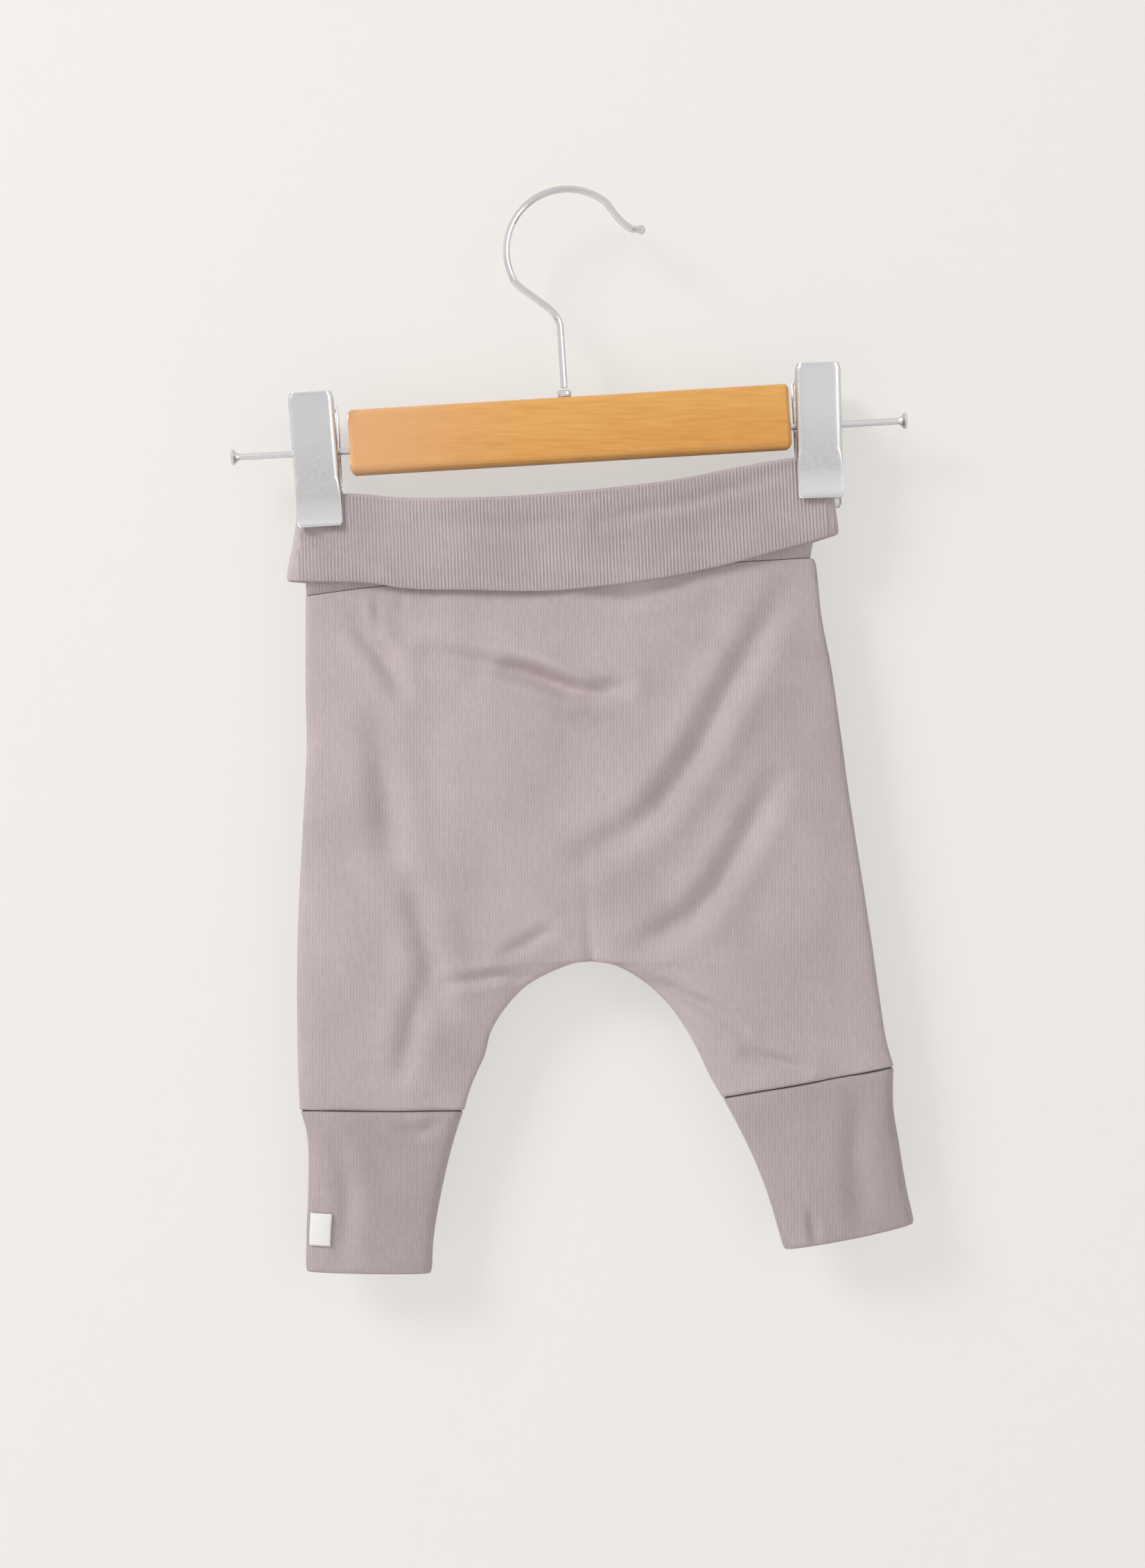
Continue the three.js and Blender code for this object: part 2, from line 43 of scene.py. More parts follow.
# ---- cloth sizes, in millimetres
JERSEY = 1.2
RIB = 1.5
SEAM_GAP = 0.3
EDGE_HALF = SEAM_GAP / 2
BAND_FULL = 2.9
BODY_FULL = 6.2
LEG_FULL = 5.2
CUFF_FULL = 3.6
FLARE = 1.2
RIB_PITCH = 1.45      # one rib and its valley
RIB_HEIGHT = 0.34
HALF_COLS = 60
TORSO_ROWS = 92
LEG_ROWS = 46
BAND_COLS = 600
CUFF_COLS = 60
ARC_COLS = 6
WALE_PITCH = 1.3      # drawn about twice as wide as real, so that it shows
FOLD_GAIN = 1.7
RIDGE_SHARE = 0.42    # height of the ridge beside a fold, as a share of its depth
SWELL_HEIGHT = 0.42

# ---- outlines seen from the front: rows of x and z
BAND_TOP = [(-116, -130), (-110, -127.2), (-93.5, -124.6), (-68.9, -126.4), (-30, -126.1), (-1.7, -124.1),
            (44.6, -118.7), (64.6, -114.4), (90.9, -109.8), (110, -108.5)]
BAND_BOTTOM = [(-117.3, -160.5), (-106.4, -161), (-83.5, -161.7), (-68.1, -164), (-45.2, -164.6),
               (-7.4, -164.9), (16.6, -162.4), (40.6, -158.9), (64.8, -153.7), (80.8, -149.3),
               (95.2, -145.3), (109, -141.2)]
BAND_SEAM = [(-111, -166.7), (-79.8, -162.7), (98.1, -150.8)]
SIDE_LEFT = [(-109.8, -167), (-110, -199), (-109.5, -229.7), (-110.7, -255), (-111.8, -275.7),
             (-113, -300.5), (-113.4, -332.6), (-113, -363.2), (-112.3, -378.2)]
SIDE_RIGHT = [(98.1, -151.1), (99.8, -157), (103.2, -179), (106.4, -195.1), (108.8, -211.2),
              (111.6, -231.3), (112.7, -240), (123.3, -309.5), (126.6, -333.1), (129.3, -349.9),
              (132.2, -360.2)]
APEX = (7.7, -317.2)
INSEAM_LEFT = [(7.7, -317.2), (1.9, -317.7), (-6.9, -320.7), (-18.9, -327.2), (-27.2, -335.8),
               (-33.5, -345.8), (-36.4, -356.4), (-39.5, -363.2), (-42.6, -370.9), (-44.6, -378.3)]
INSEAM_RIGHT = [(7.7, -317.2), (16.5, -318.5), (24.5, -322.2), (31.7, -327.2), (39.8, -335.2),
                (45.7, -343.3), (51.5, -353.5), (56.6, -364.4), (61.6, -373)]
CUFF_LEFT = dict(a=[(-112.2, -378.6), (-109.6, -388), (-109.1, -413.6), (-109.7, -428), (-110, -445)],
                 b=[(-45.0, -378.7), (-49.5, -393), (-54.3, -413.6), (-57.2, -431), (-58, -445.8)])
CUFF_RIGHT = dict(a=[(61.9, -373.4), (69.1, -386.7), (76, -401.5), (81.5, -416.4), (87.1, -436)],
                  b=[(132.3, -360.6), (132.4, -378), (134.8, -393), (137.3, -408.4), (141, -425.2)])

# ---- folds: depth of the trough, its half-width, and the line it follows
FRONT_FOLDS = [
    (1.5, 3.6, [(-89.7, -176), (-85, -184), (-79, -190.6), (-74, -198), (-70, -206)]),
    (1.7, 4.0, [(-58, -190), (-37.6, -194.4), (-18.4, -198.3), (-10.8, -201.4), (-2.3, -204.8)]),
    (2.3, 3.6, [(-26, -197), (-14, -200.2), (-2.3, -204.8), (6.9, -206.6), (20, -204.6)]),
    (2.0, 5.5, [(88, -164), (75.1, -185.5), (67.1, -199.9), (59.1, -214.4), (51.1, -229.7),
                (44.6, -240.1), (35, -253.7), (23, -263.4), (6, -273)]),
    (1.6, 5.0, [(84, -242), (75.1, -257.7), (58.8, -287.1), (47.9, -298.8), (36.9, -305.4), (26, -312)]),
    (1.2, 5.5, [(-80, -222), (-75.9, -252.7), (-72.8, -280)]),
    (1.4, 5.0, [(-66, -286), (-57.9, -317.3), (-54, -336)]),
    (1.1, 4.5, [(-62, -326), (-66, -345), (-70, -364)]),
    (1.0, 2.4, [(-52, -326), (-35.7, -323.5), (-28, -322.3), (-20, -325)]),
    (0.9, 2.6, [(-9, -303.5), (-18, -309), (-28, -314)]),
    (1.1, 2.6, [(31, -326.5), (40.6, -328), (47.9, -331.7), (55.2, -335.3), (69, -344)]),
    (1.2, 3.0, [(72, -355), (83, -358), (95, -361)]),
    (1.3, 4.0, [(8, -165), (26, -166), (46, -161)]),
    (0.8, 1.6, [(-80.5, -163), (-80, -181)]),
    (0.7, 1.4, [(-70.5, -164), (-70, -172)]),
]
BACK_FOLDS = [
    (1.6, 4.5, [(-82, -176), (-70, -196), (-58, -214), (-44, -232), (-34, -244)]),
    (1.8, 5.0, [(80, -164), (66, -190), (52, -212), (36, -230), (22, -240)]),
    (1.3, 5.0, [(-86, -254), (-76, -284), (-70, -310), (-66, -346)]),
    (1.2, 4.5, [(98, -250), (88, -286), (82, -318), (84, -348)]),
    (1.5, 3.6, [(-22, -206), (-4, -210), (16, -207)]),
    (1.0, 2.6, [(-34, -324), (-20, -322), (-10, -316)]),
    (1.0, 2.6, [(24, -316), (36, -322), (52, -332)]),
]
BAND_FOLDS = [
    (1.2, 3.0, [(-111, -139), (-97, -149), (-82, -156)]),
    (0.9, 2.6, [(10, -136), (48, -128), (90, -114)]),
    (0.7, 3.5, [(-60, -136), (-30, -139), (0, -136)]),
]
CUFF_FOLDS = [
    (0.9, 2.4, [(-70, -385.5), (-63, -387), (-56, -384.5)]),
    (0.8, 4.0, [(-96, -392), (-92, -414), (-94, -438)]),
    (1.0, 2.0, [(97.5, -420), (98.6, -426), (100, -432)]),
    (0.9, 5.0, [(118, -374), (116, -396), (118, -424)]),
]


# ---- curves and folds
def lerp(a, b, t):
    return a + (b - a) * t


def smooth(a, b, t):
    k = np.clip((np.asarray(t, float) - a) / (b - a), 0, 1)
    return k * k * (3 - 2 * k)


def bell(s):
    return np.sqrt(np.maximum(0, np.sin(np.pi * np.clip(s, 0, 1))))


def hermite(t, knots, values):
    """A smooth curve through the values, without overshoot."""
    t = np.clip(t, knots[0], knots[-1])
    knots, values = np.asarray(knots, float), np.asarray(values, float)
    run = np.diff(knots)
    slope = np.diff(values) / run
    tangent = np.concatenate(([slope[0]], (slope[1:] + slope[:-1]) / 2, [slope[-1]]))
    i = np.clip(np.searchsorted(knots, t) - 1, 0, len(run) - 1)
    k = (t - knots[i]) / run[i]
    a, b = values[i], values[i + 1]
    m, n = tangent[i] * run[i], tangent[i + 1] * run[i]
    return (a * (2 * k**3 - 3 * k**2 + 1) + m * (k**3 - 2 * k**2 + k)
            + b * (3 * k**2 - 2 * k**3) + n * (k**3 - k**2))


def z_at(rows, x):
    return hermite(x, [r[0] for r in rows], [r[1] for r in rows])


def x_at(rows, z):
    return hermite(-np.asarray(z), [-r[1] for r in rows], [r[0] for r in rows])


def along(rows, t):
    rows = np.asarray(rows, float)
    run = np.concatenate(([0], np.cumsum(np.hypot(*np.diff(rows, axis=0).T))))
    want = np.clip(t, 0, 1) * run[-1]
    return hermite(want, run, rows[:, 0]), hermite(want, run, rows[:, 1])


def fold_depth(folds, x, z):
    total = np.zeros_like(x)
    for depth, width, line in folds:
        near = np.full_like(x, 1e9)
        place = np.zeros_like(x)
        side = np.ones_like(x)
        for i, ((ax, az), (bx, bz)) in enumerate(zip(line, line[1:])):
            dx, dz = bx - ax, bz - az
            t = np.clip(((x - ax) * dx + (z - az) * dz) / (dx * dx + dz * dz), 0, 1)
            away = np.hypot(x - ax - t * dx, z - az - t * dz)
            closer = away < near
            near = np.where(closer, away, near)
            place = np.where(closer, (i + t) / (len(line) - 1), place)
            side = np.where(closer, np.sign((x - ax) * dz - (z - az) * dx), side)
        fade = np.sqrt(np.maximum(0, np.sin(np.pi * np.clip(place * 0.9 + 0.05, 0, 1))))
        trough = np.exp(-((near / width) ** 2))
        ridge = np.exp(-(((near - 1.9 * width) / (1.1 * width)) ** 2))
        total += FOLD_GAIN * depth * fade * (trough - RIDGE_SHARE * ridge)
    return total


def swell(x, z, seed):
    """Slow unevenness of hanging cloth, about half a millimetre."""
    rng = np.random.default_rng(seed)
    total = np.zeros_like(x)
    for size in (70, 46, 31, 22):
        a, b, c = rng.uniform(0, 2 * np.pi, 3)
        turn = rng.uniform(-0.9, 0.9)
        u = x * math.cos(turn) + z * math.sin(turn)
        w = z * math.cos(turn) - x * math.sin(turn)
        total += size / 70 * np.sin(2 * np.pi * u / size + a) * np.sin(2 * np.pi * w / (size * 1.7) + b)
    return SWELL_HEIGHT * total


# ---- meshes
def piece(name, points, faces):
    mesh = bpy.data.meshes.new(name)
    points = np.asarray(points, float)
    mesh.from_pydata((points * MM).tolist(), [], faces)
    mesh.validate()
    mesh.update()
    for polygon in mesh.polygons:
        polygon.use_smooth = True
    made = bpy.data.objects.new(name, mesh)
    bpy.context.scene.collection.objects.link(made)
    return made


def outward(points, faces):
    tri = np.array([f[:3] for f in faces])
    p, q, r = (points[tri[:, k]] for k in range(3))
    if np.einsum("ij,ij->i", p, np.cross(q, r)).sum() < 0:
        return [f[::-1] for f in faces]
    return faces


def thicken(name, outer, inner, quads):
    n = len(outer)
    faces, edges = [], {}
    for q in quads:
        faces.append(list(q))
        faces.append([q[3] + n, q[2] + n, q[1] + n, q[0] + n])
        for k in range(4):
            edges[(q[k], q[(k + 1) % 4])] = True
    for a, b in edges:
        if (b, a) not in edges:
            faces.append([b, a, a + n, b + n])
    points = np.concatenate((outer, inner))
    return piece(name, points, outward(points, faces))


def join_rings(name, rings):
    n = len(rings[0])
    points = np.concatenate(rings)
    faces = []
    for k in range(len(rings)):
        a, b = k * n, ((k + 1) % len(rings)) * n
        for i in range(n):
            j = (i + 1) % n
            faces.append([a + i, a + j, b + j, b + i])
    return piece(name, points, outward(points, faces))


def flat_ring(left, right, half, offset, shift, cols):
    length = math.hypot(right[0] - left[0], right[1] - left[1])
    ux, uz = (right[0] - left[0]) / length, (right[1] - left[1]) / length
    turn = np.arange(1, ARC_COLS + 1) * np.pi / (ARC_COLS + 1)
    s = np.arange(cols + 1) / cols
    reach = EDGE_HALF + offset
    place = np.concatenate((s, np.ones(ARC_COLS), s[::-1], np.zeros(ARC_COLS)))
    out = np.concatenate((s * 0, reach * np.sin(turn), s * 0, -reach * np.sin(turn)))
    depth = half(s) + offset
    y = np.concatenate((-depth, -reach * np.cos(turn), depth[::-1], reach * np.cos(turn)))
    x = lerp(left[0], right[0], place) + ux * out
    z = lerp(left[1], right[1], place) + uz * out + shift(place, x)
    return np.stack((x, y, z), axis=1)


# ---- body panels
def panel_points():
    hip_left, hip_right = -320.0, -316.0
    seam_mid = (-4.0, float(z_at(BAND_SEAM, -4.0)) - SEAM_GAP)
    xs, zs, fulls = [], [], []
    i = np.arange(2 * HALF_COLS + 1)
    s = i / (2 * HALF_COLS)
    k = np.where(i <= HALF_COLS, i / HALF_COLS, i / HALF_COLS - 1)
    for r in range(TORSO_ROWS + 1):
        v = r / TORSO_ROWS
        za, zb = lerp(SIDE_LEFT[0][1], hip_left, v), lerp(SIDE_RIGHT[0][1], hip_right, v)
        a, b = (float(x_at(SIDE_LEFT, za)), za), (float(x_at(SIDE_RIGHT, zb)), zb)
        c = (lerp(seam_mid[0], APEX[0], v), lerp(seam_mid[1], APEX[1], v))
        x = np.where(i <= HALF_COLS, lerp(a[0], c[0], k), lerp(c[0], b[0], k))
        z = np.where(i <= HALF_COLS, lerp(a[1], c[1], k), lerp(c[1], b[1], k))
        z = lerp(z_at(BAND_SEAM, x) - SEAM_GAP, z, float(smooth(0, 0.12, v)))
        legs = bell((2 * s) % 1) * (i != HALF_COLS)
        full = lerp(BAND_FULL, BODY_FULL, float(smooth(0, 0.45, v)))
        xs.append(x)
        zs.append(z)
        fulls.append(lerp(full * bell(s), LEG_FULL * legs, float(smooth(0.7, 1, v))))
    m = np.arange(HALF_COLS + 1) / HALF_COLS
    for side, inseam, hip, right in ((SIDE_LEFT, INSEAM_LEFT, hip_left, False),
                                     (SIDE_RIGHT, INSEAM_RIGHT, hip_right, True)):
        for r in range(1, LEG_ROWS + 1):
            w = r / LEG_ROWS
            z_side = lerp(hip, side[-1][1], w)
            a = (float(x_at(side, z_side)), z_side)
            b = tuple(float(q) for q in along(inseam, w))
            a, b = (b, a) if right else (a, b)
            xs.append(lerp(a[0], b[0], m))
            zs.append(lerp(a[1], b[1], m))
            fulls.append(lerp(LEG_FULL, CUFF_FULL, w) * bell(m))
    return np.concatenate(xs), np.concatenate(zs), np.concatenate(fulls)


def panel_quads():
    cols = 2 * HALF_COLS + 1
    quads = [(r * cols + c, (r + 1) * cols + c, (r + 1) * cols + c + 1, r * cols + c + 1)
             for r in range(TORSO_ROWS) for c in range(cols - 1)]
    start, leg_cols = (TORSO_ROWS + 1) * cols, HALF_COLS + 1
    for leg in (0, 1):
        def at(r, i):
            if r == 0:
                return TORSO_ROWS * cols + leg * HALF_COLS + i
            return start + (leg * LEG_ROWS + r - 1) * leg_cols + i
        quads += [(at(r, i), at(r + 1, i), at(r + 1, i + 1), at(r, i + 1))
                  for r in range(LEG_ROWS) for i in range(HALF_COLS)]
    return quads


def body_panel(name, side, folds, seed):
    x, z, full = panel_points()
    clear = smooth(-1, 10, z_at(BAND_SEAM, x) - z)
    room = np.clip(full / 2.5, 0, 1)
    depth = EDGE_HALF + np.maximum(0, full - fold_depth(folds, x, z) * clear * room
                                   + swell(x, z, seed) * clear * room)
    outer = np.stack((x, side * (depth + JERSEY), z), axis=1)
    inner = np.stack((x, side * depth, z), axis=1)
    return thicken(name, outer, inner, panel_quads())


# ---- waistband
def waistband():
    wall = 2 * RIB + SEAM_GAP

    def clip_bell(s):
        return smooth(0.1, 0.32, s) * smooth(0.9, 0.68, s)

    def half(v):
        mix = float(smooth(0.35, 0.95, v))
        return lambda s: EDGE_HALF + BAND_FULL * lerp(clip_bell(s), bell(s), mix)

    def ribbed(ring, height, folded):
        """Ribs run down the band; the front and back each start at the left side."""
        x, y, z = ring.T
        wave = np.cos(2 * np.pi * (x + 0.05 * (z + 140)) / RIB_PITCH)
        flat = np.abs(y) > 1.2
        side = np.sign(y)
        dent = fold_depth(BAND_FOLDS, x, z) * (side < 0) if folded else 0
        free = smooth(1.0, 3.2, np.abs(y)) * flat
        y = y + side * (height * RIB_HEIGHT * (wave - 1) * free - dent * 0.6 * free)
        return np.stack((x, y, z), axis=1)

    def turned(v, offset, drop=0.0, rib=0.0):
        reach = wall + EDGE_HALF
        left = (lerp(-113.6, -116.6, float(smooth(0, 0.9, v))) + reach, 0)
        right = (lerp(107.4, 108.6, v) - reach, 0)
        ring = flat_ring(left, right, half(v), offset + FLARE * float(smooth(0.5, 1, v)),
                         lambda s, x: lerp(z_at(BAND_TOP, x), z_at(BAND_BOTTOM, x), v) + drop, BAND_COLS)
        return ribbed(ring, rib, True) if rib else ring

    def rise(v, offset, drop=0.0, rib=0.0):
        left, right = (lerp(-110.1, -108.1, v), 0), (lerp(103.9, 96.4, v), 0)
        ring = flat_ring(left, right, half(v), offset,
                         lambda s, x: lerp(z_at(BAND_TOP, x), z_at(BAND_SEAM, x), v) + drop, BAND_COLS)
        return ribbed(ring, rib, False) if rib else ring

    down = [0.1, 0.25, 0.4, 0.6, 0.8, 1]
    rings = [turned(1, RIB * 1.5 + SEAM_GAP), turned(0.995, wall - 0.35, rib=0.4), turned(0.975, wall, rib=1)]
    rings += [turned(v, wall, rib=1) for v in np.linspace(0.93, 0.06, 20)]
    rings += [turned(0, wall, -1.65, rib=1), turned(0, wall * 0.93, -0.9), turned(0, wall * 0.8, -0.35),
              turned(0, wall / 2), rise(0, wall * 0.15, -0.5), rise(0, 0, -1.65)]
    rings += [rise(v, 0) for v in down] + [rise(v, RIB, rib=0.6) for v in down[::-1]]
    rings += [rise(0, RIB, -RIB - SEAM_GAP), turned(0, RIB + SEAM_GAP, -RIB - SEAM_GAP)]
    rings += [turned(v, RIB + SEAM_GAP) for v in (0.15, 0.32, 0.5, 0.66, 0.82, 0.97)]
    return join_rings("waistband_rib", rings)


# ---- cuffs
def cuff_ring(cuff, offset, v, fullness):
    a, b = along(cuff["a"], v), along(cuff["b"], v)
    a, b = [float(q) for q in a], [float(q) for q in b]
    reach = (RIB + EDGE_HALF) / math.hypot(b[0] - a[0], b[1] - a[1])
    left = (lerp(a[0], b[0], reach), lerp(a[1], b[1], reach))
    right = (lerp(b[0], a[0], reach), lerp(b[1], a[1], reach))
    return flat_ring(left, right, lambda s: EDGE_HALF + fullness(v) * bell(s), offset,
                     lambda s, x: 0, CUFF_COLS)


def dented(ring):
    x, y, z = ring.T
    free = smooth(1.2, 3.0, np.abs(y)) * (y < 0)
    y = y + fold_depth(CUFF_FOLDS, x, z) * free + swell(x, z, 5) * 0.8 * free
    return np.stack((x, y, z), axis=1)


def straight_full(v):
    return lerp(CUFF_FULL, CUFF_FULL * 0.85, v)


def open_full(v):
    return lerp(CUFF_FULL, CUFF_FULL * 1.5, float(smooth(0.4, 1, v)))


def cuff_tube(name, shape, fullness):
    stops = np.linspace(0.012, 0.988, 34)
    rings = [cuff_ring(shape, RIB * 0.5, 1, fullness)]
    rings += [dented(cuff_ring(shape, RIB - 0.25 * (i == 0), v, fullness)) for i, v in enumerate(stops[::-1])]
    rings += [cuff_ring(shape, RIB * 0.5, 0, fullness)]
    rings += [dented(cuff_ring(shape, 0.0, v, fullness)) for v in stops]
    return join_rings(name, rings)


def label_tape():
    stops, cols = np.linspace(0.63, 0.83, 15), 11

    def layer(lift):
        return np.concatenate([dented(cuff_ring(CUFF_LEFT, RIB + lift, v, straight_full))[:cols + 1]
                               for v in stops])
    quads = [(r * (cols + 1) + c, (r + 1) * (cols + 1) + c, (r + 1) * (cols + 1) + c + 1,
              r * (cols + 1) + c + 1)
             for r in range(len(stops) - 1) for c in range(cols)]
    return thicken("label_tape", layer(SEAM_GAP + 0.6), layer(SEAM_GAP), quads)


# ---- clip plates: pressed steel with rounded side flanges, jaw at the foot, curved lip below it
CLIPS = {"left": ((-103.5, -138.5), (-107.0, -84.6)), "right": ((102.2, -126.7), (100.0, -72.6))}
PLATE_WIDTH, PLATE_WALL, FLANGE, CORNER, JAW = 18.5, 0.8, 4.5, 2.4, 3.8
PLATE_LINE = [(0, 5.9), (0.02, 4.9), (0.06, 4.4), (0.12, 4.4), (0.2, 4.9), (0.3, 6), (0.45, 7.6), (0.6, 9),
              (0.8, 10.6), (0.97, 12), (1, 12.3)]


def flanged_section(half_width, corner, reach):
    turn = np.linspace(0, np.pi / 2, 9)
    out = np.concatenate((np.linspace(0, half_width - corner, 7)[:-1],
                          half_width - corner + corner * np.sin(turn),
                          [half_width] * 3))
    back = np.concatenate((np.zeros(6), corner - corner * np.cos(turn),
                           np.linspace(corner, max(corner, reach), 4)[1:]))
    return np.concatenate((-out[:0:-1], out)), np.concatenate((back[:0:-1], back))


def clip_plate(name, foot, head, side, drop):
    length = math.hypot(head[0] - foot[0], head[1] - foot[1])
    ux, uz = (head[0] - foot[0]) / length, (head[1] - foot[1]) / length
    stops = np.concatenate((np.linspace(0, 0.1, 12)[:-1], np.linspace(0.1, 0.96, 40)[:-1],
                            np.linspace(0.96, 1, 9)))

    def layer(wall):
        rows = []
        for t in stops:
            y = float(hermite(t, [p[0] for p in PLATE_LINE], [p[1] for p in PLATE_LINE]))
            inside = JAW + 0.15 if t < 0.35 else 3.0
            reach = min(FLANGE, max(0.05, y - PLATE_WALL - inside)) - wall
            corner = max(0.04, min(CORNER, reach + wall) - wall)
            taper = 1 - 0.07 * float(smooth(0.955, 1, t)) - 0.07 * float(smooth(0.03, 0, t))
            out, back = flanged_section(PLATE_WIDTH / 2 * taper - wall, corner, reach)
            run = t * length - drop
            rows.append(np.stack((foot[0] + ux * run + uz * out, side * (y - wall - back),
                                  foot[1] + uz * run - ux * out), axis=1))
        return np.concatenate(rows)
    outer, inner = layer(0.0), layer(PLATE_WALL)
    cols = len(outer) // len(stops)
    quads = [(r * cols + c, (r + 1) * cols + c, (r + 1) * cols + c + 1, r * cols + c + 1)
             for r in range(len(stops) - 1) for c in range(cols - 1)]
    return thicken(name, outer, inner, quads)


# ---- materials
def srgb(code):
    parts = [int(code[i:i + 2], 16) / 255 for i in (0, 2, 4)]
    return [p / 12.92 if p <= 0.04045 else ((p + 0.055) / 1.055) ** 2.4 for p in parts] + [1]


def add(tree, kind, inputs=None, **settings):
    node = tree.nodes.new(kind)
    for key, value in settings.items():
        setattr(node, key, value)
    for key, value in (inputs or {}).items():
        if isinstance(value, bpy.types.NodeSocket):
            tree.links.new(value, node.inputs[key])
        else:
            node.inputs[key].default_value = value
    return node


def material(name):
    made = bpy.data.materials.new(name)
    made.use_nodes = True
    tree = made.node_tree
    tree.nodes.clear()
    shader = add(tree, "ShaderNodeBsdfPrincipled")
    add(tree, "ShaderNodeOutputMaterial", {"Surface": shader.outputs[0]})
    coords = add(tree, "ShaderNodeTexCoord").outputs["Object"]
    return made, tree, shader, coords


def ramp(tree, factor, dark, light, low=0.3, high=0.7):
    node = add(tree, "ShaderNodeValToRGB", {"Fac": factor})
    node.color_ramp.elements[0].position, node.color_ramp.elements[1].position = low, high
    node.color_ramp.elements[0].color, node.color_ramp.elements[1].color = srgb(dark), srgb(light)
    return node.outputs["Color"]


def cotton_jersey(name, dark, light):
    """Single jersey: matt, softly napped, its wales run down the cloth. Real wales are 0.6 mm apart,
    drawn wider so that they show."""
    made, tree, shader, coords = material(name)
    wales = add(tree, "ShaderNodeTexWave", {"Vector": coords,
                                            "Scale": 2 * math.pi / 20 / (WALE_PITCH * MM), "Distortion": 0.5,
                                            "Detail": 2, "Detail Scale": 3}, bands_direction="X")
    stretched = add(tree, "ShaderNodeMapping", {"Vector": coords, "Scale": (1, 1, 0.3)}).outputs[0]
    heather = add(tree, "ShaderNodeTexNoise", {"Vector": stretched, "Scale": 900, "Detail": 3,
                                               "Roughness": 0.6})
    cloud = add(tree, "ShaderNodeTexNoise", {"Vector": coords, "Scale": 28, "Detail": 2})
    soft = add(tree, "ShaderNodeMath", {0: wales.outputs["Fac"], 1: 0.4}, operation="MULTIPLY")
    mix = add(tree, "ShaderNodeMath", {0: heather.outputs["Fac"], 1: soft.outputs[0]}, operation="ADD")
    mixed = add(tree, "ShaderNodeMath", {0: mix.outputs[0], 1: cloud.outputs["Fac"]}, operation="ADD")
    third = add(tree, "ShaderNodeMath", {0: mixed.outputs[0], 1: 1 / 2.4}, operation="MULTIPLY")
    tree.links.new(ramp(tree, third.outputs[0], dark, light), shader.inputs["Base Color"])
    bump = add(tree, "ShaderNodeBump", {"Height": mix.outputs[0], "Strength": 0.35, "Distance": 0.0002})
    tree.links.new(bump.outputs[0], shader.inputs["Normal"])
    shader.inputs["Roughness"].default_value = 0.92
    shader.inputs["Specular IOR Level"].default_value = 0.2
    shader.inputs["Sheen Weight"].default_value = 0.12
    shader.inputs["Sheen Roughness"].default_value = 0.5
    return made


def varnished_beech():
    """Honey varnish on beech: long grain, warm, a clear glossy coat; painted light makes the left end paler.
    """
    made, tree, shader, coords = material("varnished_beech")
    turned = add(tree, "ShaderNodeMapping", {"Vector": coords, "Rotation": (0, math.radians(3.4), 0),
                                             "Scale": (5, 60, 60)}).outputs[0]
    grain = add(tree, "ShaderNodeTexNoise", {"Vector": turned, "Scale": 1.6, "Detail": 5, "Distortion": 0.6})
    flecks = add(tree, "ShaderNodeTexNoise", {"Vector": turned, "Scale": 14, "Detail": 2})
    total = add(tree, "ShaderNodeMath", {0: grain.outputs["Fac"], 1: flecks.outputs["Fac"]}, operation="ADD")
    half = add(tree, "ShaderNodeMath", {0: total.outputs[0], 1: 0.5}, operation="MULTIPLY")
    honey = ramp(tree, half.outputs[0], "D6923C", "EBB060")
    # painted highlight: paler peach over the left end of the bar, where the light from the left lamp falls
    split = add(tree, "ShaderNodeSeparateXYZ", {"Vector": coords})
    place = add(tree, "ShaderNodeMapRange", {"Value": split.outputs["X"], "From Min": -0.085,
                                             "From Max": -0.02,
                                             "To Min": 0.75, "To Max": 0.0})
    painted_left_light = add(tree, "ShaderNodeMix", {0: place.outputs[0], 6: honey, 7: srgb("E6AF7C")}, data_type="RGBA")
    tree.links.new(painted_left_light.outputs[2], shader.inputs["Base Color"])
    bump = add(tree, "ShaderNodeBump", {"Height": flecks.outputs["Fac"], "Strength": 0.12,
                                        "Distance": 0.0002})
    tree.links.new(bump.outputs[0], shader.inputs["Normal"])
    shader.inputs["Roughness"].default_value = 0.38
    shader.inputs["Coat Weight"].default_value = 0.5
    shader.inputs["Coat Roughness"].default_value = 0.15
    return made


def chrome_plate(name, low, high, colour):
    """Chromed steel: mirror-like, with fine rubbing that blurs it unevenly."""
    made, tree, shader, coords = material(name)
    rub = add(tree, "ShaderNodeTexNoise", {"Vector": coords, "Scale": 900, "Detail": 4})
    rough = add(tree, "ShaderNodeMapRange", {"Value": rub.outputs["Fac"], "From Min": 0.3, "From Max": 0.7,
                                             "To Min": low, "To Max": high})
    tree.links.new(rough.outputs[0], shader.inputs["Roughness"])
    bump = add(tree, "ShaderNodeBump", {"Height": rub.outputs["Fac"], "Strength": 0.03, "Distance": 0.0001})
    tree.links.new(bump.outputs[0], shader.inputs["Normal"])
    shader.inputs["Base Color"].default_value = srgb(colour)
    shader.inputs["Metallic"].default_value = 1
    return made


def woven_tape():
    """Bright white satin tape with a fine plain weave."""
    made, tree, shader, coords = material("woven_satin_tape")
    warp = add(tree, "ShaderNodeTexWave", {"Vector": coords, "Scale": 2 * math.pi / 20 / (0.9 * MM),
                                           "Distortion": 0.3}, bands_direction="Z")
    tree.links.new(ramp(tree, warp.outputs["Fac"], "E4E2E0", "F4F2F0"), shader.inputs["Base Color"])
    bump = add(tree, "ShaderNodeBump", {"Height": warp.outputs["Fac"], "Strength": 0.3, "Distance": 0.0001})
    tree.links.new(bump.outputs[0], shader.inputs["Normal"])
    shader.inputs["Roughness"].default_value = 0.6
    return made


